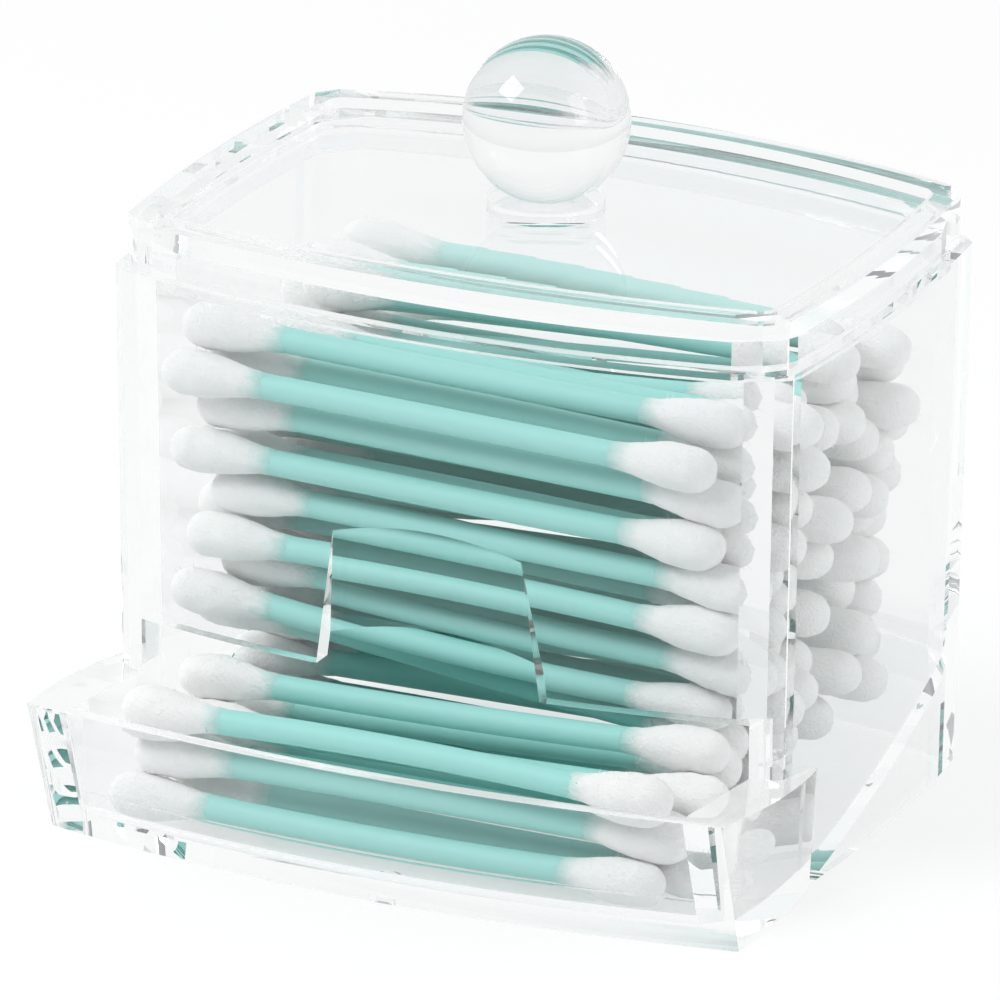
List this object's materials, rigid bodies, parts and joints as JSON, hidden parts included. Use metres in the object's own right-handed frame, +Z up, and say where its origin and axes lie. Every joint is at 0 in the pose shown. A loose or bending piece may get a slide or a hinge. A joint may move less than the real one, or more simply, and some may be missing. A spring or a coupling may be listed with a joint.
{
  "type": "cotton swab dispenser",
  "caption": "Clear desktop dispenser with bowed walls, sloping front tray, finger notch and lift-off lid with ball knob, holding cotton swabs.",
  "frame": {"origin": "middle of the footprint, on the table", "axes": "+Z up, the tray faces -Y, +X to the right seen from the tray"},
  "size_m": [0.094, 0.0874, 0.0949],
  "materials": {
    "clear_plastic": "clear, polished",
    "stick_plastic": "satin",
    "cotton": "soft cotton"
  },
  "bodies": {
    "dispenser": {"hopper_body": "clear_plastic", "sticks_01": "stick_plastic", "sticks_02": "stick_plastic", "sticks_03": "stick_plastic", "sticks_04": "stick_plastic", "sticks_05": "stick_plastic", "sticks_06": "stick_plastic", "sticks_07": "stick_plastic", "sticks_08": "stick_plastic", "sticks_tray": "stick_plastic", "tips_01": "cotton", "tips_02": "cotton", "tips_03": "cotton", "tips_04": "cotton", "tips_05": "cotton", "tips_06": "cotton", "tips_07": "cotton", "tips_08": "cotton", "tips_tray": "cotton"},
    "lid": {"lid": "clear_plastic", "lid_knob": "clear_plastic"}
  },
  "joints": [
    {"name": "lid_lift", "type": "slide", "parent": "dispenser", "child": "lid", "axis": [0, 0, 1], "range_m": [0, 0.06]}
  ]
}
